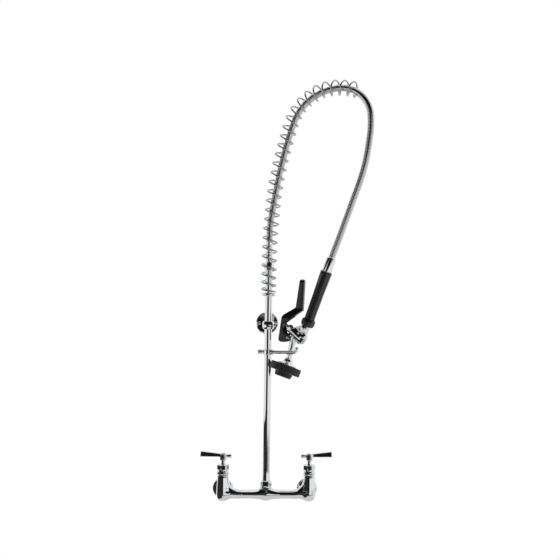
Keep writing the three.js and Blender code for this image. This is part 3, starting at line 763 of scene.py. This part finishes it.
build_valve(-1, "hot", "hot_red")
build_valve(1, "cold", "cold_blue")

# ------------------------------------------------------------------ wall bracket


def bracket_fixing(label, place):
    """A turned screw with a plain head. A shallow cross is sunk into the hidden end of its shank."""
    end, cross_half, cross_reach, cross_deep = 64.8, 0.75, 3.0, 1.1
    bm = lathe([
        (0, 56.4), (0.7, 56.42), (1.4, 56.5), (2.1, 56.6), (2.8, 56.75), (3.6, 57.1), (4.6, 58.2, 0.3),
        (2.3, 58.3), (2.3, end), (0, end),
    ], 48, 0.3)
    for vertex in bm.verts:
        x, y, z = vertex.co
        near = max(0.0, 1 - min(abs(x), abs(y)) / cross_half) * max(0.0, 1 - math.hypot(x, y) / cross_reach)
        if end - z < 1.2 and near > 0:
            vertex.co.z = z - cross_deep * near
    to_piece(f"bracket_fixing_{label}", bm, place, "faucet_base", f"bracket_screw_{label}", "stainless", 30)


def build_bracket():
    bracket = at(0, AXIS_Y, BRACKET_Z)
    eye = cast_parts([
        turned_part(bracket, [
            (0, -9.5), (11.9, -9.5, 0.6), (13.4, -5.5, 8), (14, 0, 12), (13.4, 5.5, 8), (11.9, 9.5, 0.6),
            (0, 9.5),
        ], 1),
        turned_part(bracket @ TO_Y, [(0, 4), (9, 4), (9, 20.8, 1), (0, 20.8)], 0.8, 3.5),
        turned_part(bracket @ TO_X, [(0, 4), (5, 4), (5, 14.1), (0, 14.1)], 0.4, 2.0),
    ], 0.85)
    to_piece("bracket_eye", eye, Matrix(), "faucet_base", "bracket_ring", sharp=CASTING)
    turned("bracket_thumb_screw", "bracket_set_screw", "faucet_base", bracket @ TO_X, [
        (0, 9.4), (2.2, 9.4), (3, 10.4), (3, 14.4), (5, 14.4), (5, 17, 0.6), (4.2, 17.7, 0.4),
        (1.9, 17.7, 0.1), (1.9, 16.4), (0, 16.2),
    ], radius=0.2, slot="stainless")
    turned("bracket_stub", "bracket_nipple", "faucet_base", bracket @ TO_Y, [
        (0, 14.3), (6.2, 14.3), (6.6, 15), (6.6, 61.6), (0, 61.6),
    ])
    turned("bracket_plate", "bracket_flange", "faucet_base", bracket @ TO_Y, [
        (6.9, 46), (9.6, 46, 0.8), (10.4, 47, 0.8), (11, 57.4, 2.4), (14, 58.4, 1), (24.6, 58.8, 1),
        (26.6, 60.4, 1), (27.4, 63.4, 1), (27.4, 65, 0.3), (6.9, 65),
    ], 96, 0.5)
    for side, label in ((-1, "left"), (1, "right")):
        bracket_fixing(label, bracket @ Matrix.Translation((side * 19.5, 0, 0)) @ TO_Y)


build_bracket()

# ------------------------------------------------------------------ riser, its fittings and the finger hook


def build_riser():
    turned("riser_tube", "riser_pipe", "swivel_riser", RISER, [
        (4.8, 3), (7.4, 3), (7.4, 9.6), (6.2, 9.6), (6.2, 12.6), (7.4, 12.6), (7.4, 24.4), (9.6, 24.4),
        (9.6, 27.2), (8.55, 27.2), (8.55, 60), (8.55, 532), (7.9, 533), (7.9, 541), (6.2, 541), (6.2, 32),
        (4.8, 30),
    ], 96, 0.2)
    turned("spring_seat", "spring_collar", "swivel_riser", RISER, [
        (8.85, 468), (15, 468, 0.8), (17.2, 470, 1.2), (17.2, 473.2, 1), (15.8, 474.6, 0.4),
        (15.4, 475.4, 0.3), (8.85, 475.4),
    ], 72, 0.4)
    to_piece("hose_nut", nut(20.8, 6, 529.5, 547.5, 8.85), RISER, "swivel_riser", "hose_coupling_nut")
    crimps = []
    for z in range(556, 591, 7):
        crimps += [(8.5, z, 0.5), (7.9, z + 1.4, 0.8), (7.9, z + 3, 0.8), (8.5, z + 4.4, 0.5)]
    turned("hose_top_sleeve", "hose_top_ferrule", "swivel_riser", RISER, [
        (4.2, 547.8), (6.6, 547.8), (6.6, 550), (8.5, 551), *crimps, (8.5, 597, 0.8), (7.8, 598.3),
        (4.2, 598.3),
    ], 64)


def build_spring():
    """A left-handed coil round the hose, its turns closer together at the foot and at the free end."""
    steps_a_turn, reach = 44, 0.5
    fine = smooth_curve([(u, 0, z) for u, z in SPRING_ROUTE], 0.5)
    lengths = path_lengths(fine)
    total = lengths[-1]
    s = np.linspace(0, total, 2001)  # fine enough to add the turns up
    middle = (s[1:] + s[:-1]) / 2
    pitch = COIL_PITCH - 8.5 * np.exp(-middle / 26) - 8 * np.exp(-(total - middle) / 11)
    turns = np.concatenate([[0], np.cumsum(np.diff(s) / pitch)])
    steps = int(turns[-1] * steps_a_turn)
    turn = np.linspace(0, turns[-1], steps + 1)
    at_s = np.interp(turn, turns, s)
    centre = on_path(fine, lengths, at_s)
    ahead = on_path(fine, lengths, np.minimum(at_s + reach, total))
    behind = on_path(fine, lengths, np.maximum(at_s - reach, 0))
    along = (ahead - behind) / np.linalg.norm(ahead - behind, axis=1)[:, None]
    in_plane = np.stack([along[:, 2], 0 * along[:, 0], -along[:, 0]], axis=1)
    across = np.array([[0, 1, 0]])
    angle = turn[:, None] * 2 * math.pi
    points = centre + SPRING_R * (in_plane * np.cos(angle) - across * np.sin(angle))
    # the coil takes the darker copy of the chrome, whose colour carries painted shade
    to_piece("spring_coil", sweep(points, WIRE_R, 12), LOOP, "swivel_riser", "overhead_spring", sharp=50,
             finish="spring_chrome_painted_shade")


def build_hook():
    place = RISER @ Matrix.Translation((0, 0, HOOK_Z))
    arm = place @ Matrix.Rotation(HOOK_TURN, 4, "Z")
    clamp = cast_parts([
        turned_part(place, [(0, -5.5), (11, -5.5, 0.8), (11, 5.5, 0.8), (0, 5.5)], 0.8),
        turned_part(place @ TO_MINUS_X, [(0, 8), (4.6, 8), (4.6, 12.6, 0.5), (0, 12.6)], 0.5, 1.6),
        turned_part(arm @ TO_X, [(0, 8), (6.2, 8), (6.2, 14.9, 1), (0, 14.9)], 1, 1.8),
    ], 0.62)
    to_piece("hook_collar", clamp, Matrix(), "finger_hook", "hook_clamp", sharp=CASTING)
    radius, step = 4.0, 1.2
    line = smooth_curve([
        (12.4, 0, 0), (20, 0, 0.4), (45, 0, 1.8), (68, 0, 2.6), (76, 0, 4.4), (80.6, 0, 9), (82, 0, 13.4),
        (82.9, 0, 16.4),
    ], step)
    to_tip = [step * (len(line) - 1 - i) for i in range(len(line))]
    radii = [radius if left >= radius else max(0.05, math.sqrt(max(0.0, radius ** 2 - (radius - left) ** 2)))
             for left in to_tip]
    to_piece("hook_finger", sweep(line, radii, 28), arm, "finger_hook", "hook_arm", sharp=50)

    def knurled(a, r, z):
        return r - 0.22 * (0.5 - 0.5 * math.cos(24 * a)) if r > 5.1 else r

    turned("hook_thumb_screw", "hook_screw", "finger_hook", place @ TO_MINUS_X, [
        (0, 9.2), (2.5, 9.2), (2.5, 13.8), (4.6, 13.8, 0.4), (5.2, 14.6, 0.3), (5.2, 22.6, 0.3),
        (4.6, 23.5, 0.4), (0, 23.6),
    ], 120, 0.2, "stainless", 50, ripple=knurled)


build_riser()
build_spring()
build_hook()

# ------------------------------------------------------------------ grip


def build_grip():
    foot, end = -GRIP_FOOT, -GRIP_LENGTH
    first_rib = math.radians(-59.2)
    turned("hose_end_sleeve", "hose_end_ferrule", "swivel_riser", GRIP, [
        (4.2, 0.3), (10.6, 0.3, 0.4), (11.6, 1.6, 0.8), (11.4, 18, 10), (11.2, 31.4, 1.4), (9.6, 34.2, 1),
        (8.2, 34.7, 0.3), (4.2, 34.7),
    ], 64)

    def ribs(a, r, z):
        """Eight ribs along the sleeve with shallow flutes between them, which fade before its ends."""
        if r < 11.2:
            return r
        fade = min(1.0, max(0.0, (-z - 5) / 4), max(0.0, (z - end - 4) / 4))
        return r - fade * (0.5 - 0.5 * math.cos(8 * (a - first_rib)))

    rows = [(12.0 + 0.4 * min(1, (z - end) / 55) + 1.5 * max(0, (z + 62) / 59), z)
            for z in np.linspace(end + 6, -6, 41)]
    turned("grip_sleeve", "grip", "swivel_riser", GRIP, [
        (7.6, end), (11.4, end, 0.4), (12, end + 1), (12.0, end + 3), *rows, (13.9, -3.2, 0.5),
        (13.6, -0.6, 0.5), (12.8, 0, 0.3), (7.6, 0),
    ], 192, 0.3, "black_plastic", 40, ripple=ribs)

    def notches(a, r, z):
        return r if r < 14.6 else r - 0.5 * (0.5 + 0.5 * math.cos(12 * a)) ** 6

    turned("grip_end_collar", "grip_collar", "swivel_riser", GRIP, [
        (7.6, foot), (12.6, foot, 0.6), (14.6, foot + 1.6, 1.2), (16, foot + 6.4, 1.4), (16, foot + 8, 1),
        (16, foot + 13, 1), (15.6, foot + 14.6, 1), (14, foot + 17.7, 0.5), (7.6, foot + 17.7),
    ], 144, 0.5, "black_plastic", 40, ripple=notches)


build_grip()

# ------------------------------------------------------------------ spray valve


def build_valve_body():
    side_boss = LOOP @ Matrix.Translation((SIDE_CAP[0], 0, SIDE_CAP[1])) @ TO_Y
    pivot_u, pivot_z = LEVER_PIVOT
    casting = cast_parts([
        turned_part(CHAMBER, [
            (0, -29), (6.2, -29), (7.6, -27.6), (7.6, -25.6), (10.2, -25.6, 1), (10.8, -18, 6),
            (10.8, 12, 1), (9.6, 14, 0.6), (0, 14),
        ]),
        turned_part(NECK, [
            (0, 0.3), (6.7, 0.3), (6.7, 6, 3), (7.2, 14, 10), (7.8, 44, 10), (8.6, 56), (0, 56),
        ], 0.5, 3.2),
        turned_part(GRIP, [
            (0, -ELBOW), (7.9, -ELBOW), (7.9, -GRIP_FOOT - 0.3), (0, -GRIP_FOOT - 0.3),
        ], 0.3, 2.5),
        turned_part(GRIP, [
            (0, -ELBOW - 9), (5.4, -ELBOW - 8, 3), (9, -ELBOW - 4.4, 3), (11, -ELBOW, 5),
            (9.4, -ELBOW + 5, 4), (0, -ELBOW + 11),
        ], 2, 3.5),
        turned_part(leaned(math.radians(-118), (87, 368.5)), [
            (0, 0), (5.4, 0), (5.4, 12, 1), (3.4, 15, 1), (0, 16),
        ], k=2.5),
        turned_part(side_boss, [(0, -9.8), (8.4, -9.8, 0.8), (8.4, 6, 0.8), (0, 6)], k=2.5),
        plate_part(LOOP, [(60, 388), (74, 400), (88, 401), (93, 397), (92, 378), (74, 374)], 5.5, 1.2),
        plate_part(LOOP, [
            *arc(LEVER_PIVOT, 5.4, 100, 280, 10), (pivot_u + 12, pivot_z - 7), (pivot_u + 14, pivot_z + 9),
        ], 7.4, 0.8, 2.2),
    ], 0.6)
    to_piece("spray_valve_casting", casting, Matrix(), "swivel_riser", "valve_body", sharp=CASTING)
    turned("valve_side_plug", "side_cap", "swivel_riser", side_boss, [
        (0, -14.4), (3.1, -14.4), (3.3, -16), (6.4, -16, 0.5), (8.2, -14.6, 1), (8.2, -10.3),
        (4.6, -10.3), (4.6, -4), (0, -4),
    ], radius=0.25)
    gland = lathe([
        (5.6, 2.5), (7.2, 2.5), (7.2, 15), (8, 15), (8, 24.2, 0.8), (6.6, 25.8, 0.6), (3.6, 25.8),
        (3.6, 20), (5.6, 19),
    ], 48, 0.3)
    to_piece("valve_gland", merged(nut(17, 6, 14.3, 22.5, 7.2), gland), CHAMBER, "swivel_riser",
             "valve_bonnet")
    turned("valve_pin_rod", "valve_stem", "spray_stem", CHAMBER, [
        (0, -16), (3.2, -16), (3.2, -14.3), (2.4, -14.3), (2.4, -6), (3, -5.4), (3, 34.6, 1.5),
        (2.2, 36.6, 1.5), (0, 37.2),
    ], 40, 0.2, "stainless")
    pin = LOOP @ Matrix.Translation((pivot_u, 0, pivot_z)) @ TO_Y
    turned("lever_rivet", "lever_pin", "swivel_riser", pin, [
        (0, -13.4), (1.4, -13.4), (2.6, -13.2, 1), (3.6, -12.4, 0.8), (3.6, -11.4, 0.2), (2.2, -11.4),
        (2.2, 11.4), (3.6, 11.4, 0.3), (3.6, 12.5, 0.4), (0, 12.6),
    ], radius=0.2, slot="stainless")


def build_valve_spring():
    """Four turns behind the washer, drawn at rest; in the real valve they shorten as the squeeze lever pushes
    the stem in.
    """
    coil_r, wire_r, first_z, pitch = 5.2, 0.5, CHAMBER_FLOOR + 1.1, 2.0
    angle = np.linspace(0, 8 * math.pi, 145)
    rise = first_z + pitch * angle / (2 * math.pi)
    points = np.stack([coil_r * np.cos(angle), coil_r * np.sin(angle), rise], axis=1)
    spring = to_piece("return_spring", sweep(points, wire_r, 10), CHAMBER, "swivel_riser", "valve_spring",
                      "stainless", 50)
    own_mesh(spring)


def build_spray_head():
    turned("spray_cone", "spray_bell", "swivel_riser", HEAD, [
        (7.7, 14.6), (8.3, 15.5, 0.4), (9, 15.5, 0.4), (10.2, 13, 1), (11, 9, 2), (12.2, 7.4, 2),
        (15, 5.6, 3), (22.2, 2.6, 0.5), (23.6, 1.4, 0.4), (23.6, 0.3, 0.2), (19, 0.3), (14, 3), (7.7, 6),
    ], 96, 0.4)

    def scallops(a, r, z):
        return r if r < 36.1 else r - 0.3 * (0.5 + 0.5 * math.cos(36 * a)) ** 6

    turned("bumper_ring", "spray_bumper", "swivel_riser", HEAD, [
        (19, -18), (34.6, -18, 0.4), (36.6, -15.9, 0.5), (36.6, -11.5, 0.3), (36.2, -11.1, 0.2),
        (36.2, -10.3, 0.2), (36.6, -9.9, 0.3), (36.6, -2.2, 0.5), (35, 0, 0.4), (19, 0),
    ], 216, 0.4, "bumper_rubber", 40, ripple=scallops)
    turned("guard_ring", "spray_guard", "swivel_riser", HEAD, [
        (14, -29), (17.6, -29, 0.7), (19.4, -27.4, 1), (20.2, -23.6, 0.4), (19.8, -23.2, 0.2),
        (20, -22.4, 0.2), (20.6, -22, 0.4), (21.4, -18.3), (14, -18.3),
    ], 96, 0.4, "bumper_rubber", 40)


def build_spray_plate():
    """A pressed disc with a hole in the middle and three rings of drilled holes round it."""
    rings = ((0, 1), (4.0, 6), (7.4, 12), (10.8, 18))  # radius and number of holes
    hole_r = 0.7
    disc = to_object("disc", lathe([
        (0, -26), (13.6, -26, 0.6), (13.6, -17.8, 0.3), (18.6, -17.8), (18.6, -15, 0.4), (11.6, -15),
        (11.6, -23.6), (0, -23.6),
    ], 64, 0.4))
    drill = bmesh.new()
    for r, count in rings:
        for a in (2 * math.pi * k / count for k in range(count)):
            bmesh.ops.create_cone(drill, cap_ends=True, segments=14, radius1=hole_r, radius2=hole_r, depth=6,
                                  matrix=Matrix.Translation((r * math.cos(a), r * math.sin(a), -25)))
    drills = to_object("drills", drill)
    cut = disc.modifiers.new("holes", "BOOLEAN")
    cut.object = drills
    cut.operation = "DIFFERENCE"
    cut.solver = "EXACT"
    bm = applied(disc)
    for holder in (disc, drills):
        bpy.data.objects.remove(holder)
    to_piece("spray_face", bm, HEAD, "swivel_riser", "spray_plate", "stainless", 30)


def build_squeeze_lever():
    """A moulded lever: solid along its handle, hollow round the valve, and rounded at its tip."""
    side = [
        *arc((84.6, 504.6), 5.8, 5, 175, 12), (70, 444), (41, 426.6), (36.8, 421), (29.6, 370),
        *arc((36.8, 369.8), 7.2, 185, 262, 8), (44, 362.4), (55, 364), (59.4, 368.6), (59.4, 376.4),
        (54.5, 379), (45.4, 383), (44.6, 388), (42.2, 394.4), (42, 401), (44.4, 407), (87.2, 436.6),
    ]
    channel = [(34, 350), (34, 369), (41.4, 413), (44.4, 416.5), (58, 423.5), (72, 424.5), (80, 350)]
    channel_half, pin_hole = 8.9, 2.7
    tip_z, tip_r, top_z = 503.3, 6, 510.4

    def field(p):
        u, v, z = local(p, LOOP).T
        half = np.interp(z, [418, 442], [11.2, 6.6])
        blade = meet(outline_distance(u, z, side), np.abs(v) - half, 3.0)
        blade = meet(blade, np.where(z > tip_z, np.hypot(v, z - tip_z) - tip_r, z - top_z), 1.5)
        hollow = np.maximum(outline_distance(u, z, channel), np.abs(v) - channel_half)
        blade = meet(blade, -hollow, 0.8)
        return meet(blade, pin_hole - np.hypot(u - LEVER_PIVOT[0], z - LEVER_PIVOT[1]), 0.4)

    seed = bmesh.new()
    seed.from_mesh(NODES["squeeze_lever"].data)
    seed.transform(Matrix.Scale(1 / MM, 4))
    to_piece("squeeze_handle", cast([seed], field, 0.6), Matrix(), "spray_lever", "squeeze_lever",
             "black_plastic", CASTING)


build_valve_body()
build_valve_spring()
build_spray_head()
build_spray_plate()
build_squeeze_lever()

# ------------------------------------------------------------------ every CAD solid gets its slot's finish

SLOTS = {entry["node"]: entry["material_slot"] for entry in frame["record"]["subparts"]}
for node_name, node in NODES.items():
    for holder in node.material_slots:
        holder.material = MATERIALS[SLOTS[node_name]]

# ------------------------------------------------------------------ floor and light, in metres


def build_floor():
    bm = bmesh.new()
    bmesh.ops.create_circle(bm, cap_ends=True, segments=96, radius=2.6)
    floor = to_object("floor", bm)
    floor.location = (0, 0, -1.0)
    floor.data.materials.append(material(
        "floor_pale", (0.80, 0.80, 0.80), (0.84, 0.84, 0.84), (0.8, 0.9), 0.0, 40, 0.02, 0.0005,
        Emission_Color=(1, 1, 1, 1), Emission_Strength=0.2, Specular_IOR_Level=0.0))


def build_card():
    """A dark card low down on the left, outside the picture, seen only in the reflections of the chrome."""
    x, front, back, bottom, top = -0.8, -2.0, 0.35, -0.95, 0.05
    corners = ((x, front, bottom), (x, back, bottom), (x, back, top), (x, front, top))
    bm = bmesh.new()
    bm.faces.new([bm.verts.new(corner) for corner in corners])
    card = to_object("card", bm)
    card.data.materials.append(material(
        "card_dark", (0.010, 0.010, 0.010), (0.016, 0.016, 0.016), (0.8, 0.9), 0.0, 40, 0.02, 0.0005))
    card.visible_camera = False
    card.visible_shadow = False
    card.visible_diffuse = False


def build_world():
    """White to the camera. For reflections and light it is pale, with three dark zones that give the chrome its
    dark streaks. turn is 0 in front of the faucet and positive to its right; z is -1 straight down and 1 up."""
    world = bpy.data.worlds.new("studio")
    bpy.context.scene.world = world
    world.use_nodes = True
    n = Nodes(world.node_tree)
    out = n.add("ShaderNodeOutputWorld")
    back = n.add("ShaderNodeBackground")
    n.tree.links.new(back.outputs[0], out.inputs[0])
    split = n.add("ShaderNodeSeparateXYZ")
    n.put(split.inputs[0], n.add("ShaderNodeTexCoord").outputs["Generated"])
    x, y, z = split.outputs
    turn = n.math("ARCTAN2", x, n.math("MULTIPLY", y, -1.0))
    floor_edge = (-0.42, -0.26)
    pale, darkest = 0.85, 0.008

    def band(value, rise, fall):
        """1 from the end of rise to the start of fall, and 0 outside them."""
        return n.math("MULTIPLY", n.ramp(value, *rise), n.ramp(value, *fall, 1.0, 0.0))

    narrow = n.math("MULTIPLY", band(turn, (-0.85, -0.70), (0.07, 0.20)), band(z, floor_edge, (0.0, 0.2)))
    wide = n.math("MULTIPLY", band(turn, (-2.0, -1.6), (0.95, 1.25)), band(z, (0.0, 0.10), (0.86, 0.95)))
    fading = n.math("MULTIPLY", n.ramp(turn, 0.1, 1.9, 0.95, 0.1), n.ramp(turn, 0.0, 0.1))
    low_right = n.math("MULTIPLY", fading, band(z, floor_edge, (-0.185, -0.15)))
    dark = n.math("MAXIMUM", narrow, n.math("MAXIMUM", wide, low_right))
    level = n.math("ADD", n.math("MULTIPLY", n.math("SUBTRACT", 1.0, dark), pale), darkest)
    seen = n.math("MAXIMUM", level, n.add("ShaderNodeLightPath").outputs["Is Camera Ray"])
    n.put(back.inputs["Color"], n.tint(seen, (0, 0, 0), (1, 1, 1)))
    back.inputs["Strength"].default_value = 1.0


build_floor()
build_card()
build_world()
bpy.context.scene.view_settings.view_transform = "Standard"
